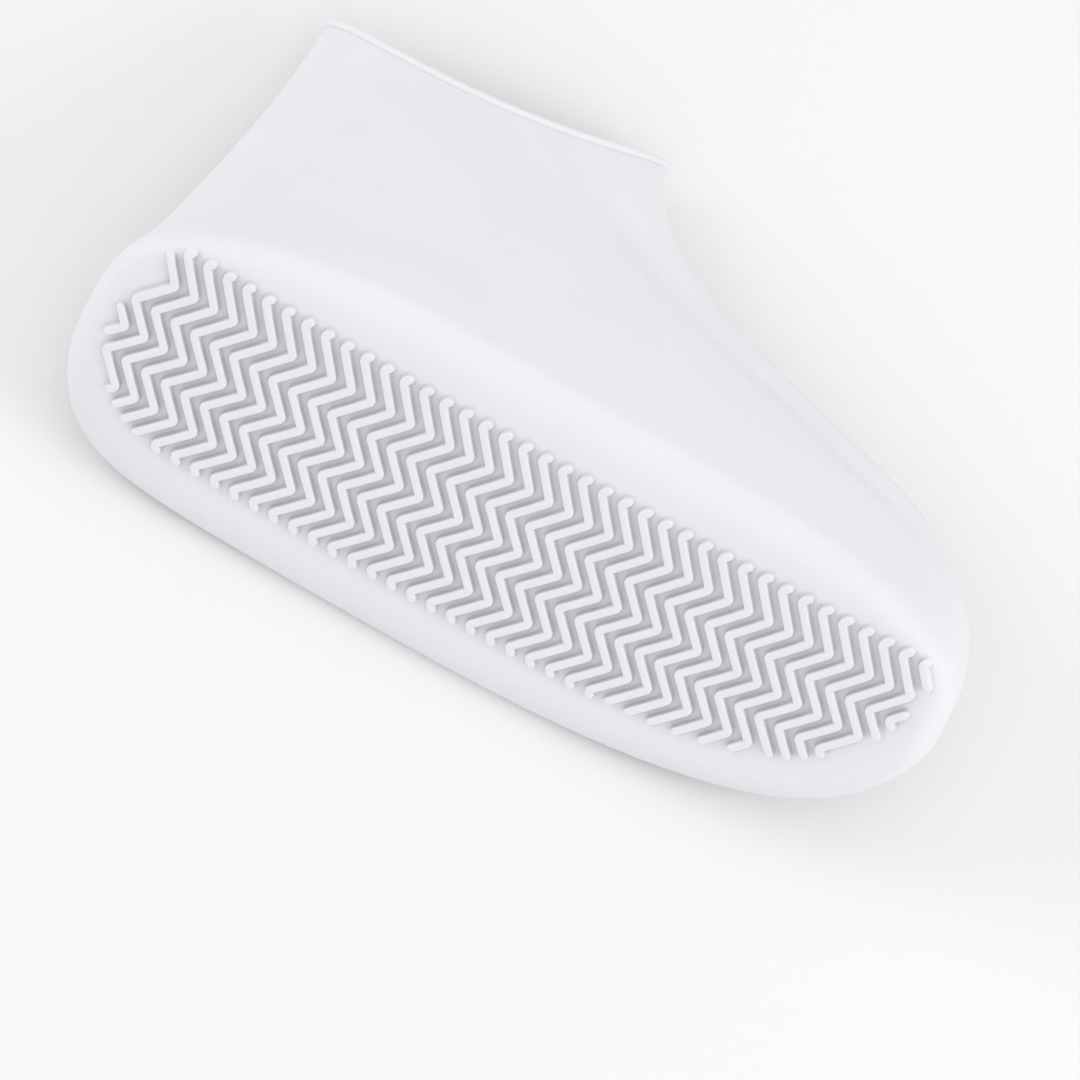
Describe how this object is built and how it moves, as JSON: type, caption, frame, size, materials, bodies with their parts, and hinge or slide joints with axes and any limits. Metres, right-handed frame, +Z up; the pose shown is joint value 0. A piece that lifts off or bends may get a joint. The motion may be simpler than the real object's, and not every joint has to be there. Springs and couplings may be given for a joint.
{
  "type": "overshoe",
  "caption": "Moulded silicone overshoe with a low ankle collar, a beaded rim and a zigzag ribbed tread, lying on its outer side.",
  "frame": {"origin": "middle of the overshoe's box, at the floor it lies on", "axes": "+X from heel to toe, +Y towards the collar's rim, +Z up from the floor. The sole faces -Y and up, and the outer side lies on the floor."},
  "size_m": [0.264, 0.1636, 0.0888],
  "materials": {
    "silicone": "satin"
  },
  "bodies": {
    "root": {"overshoe": "silicone"}
  },
  "joints": []
}
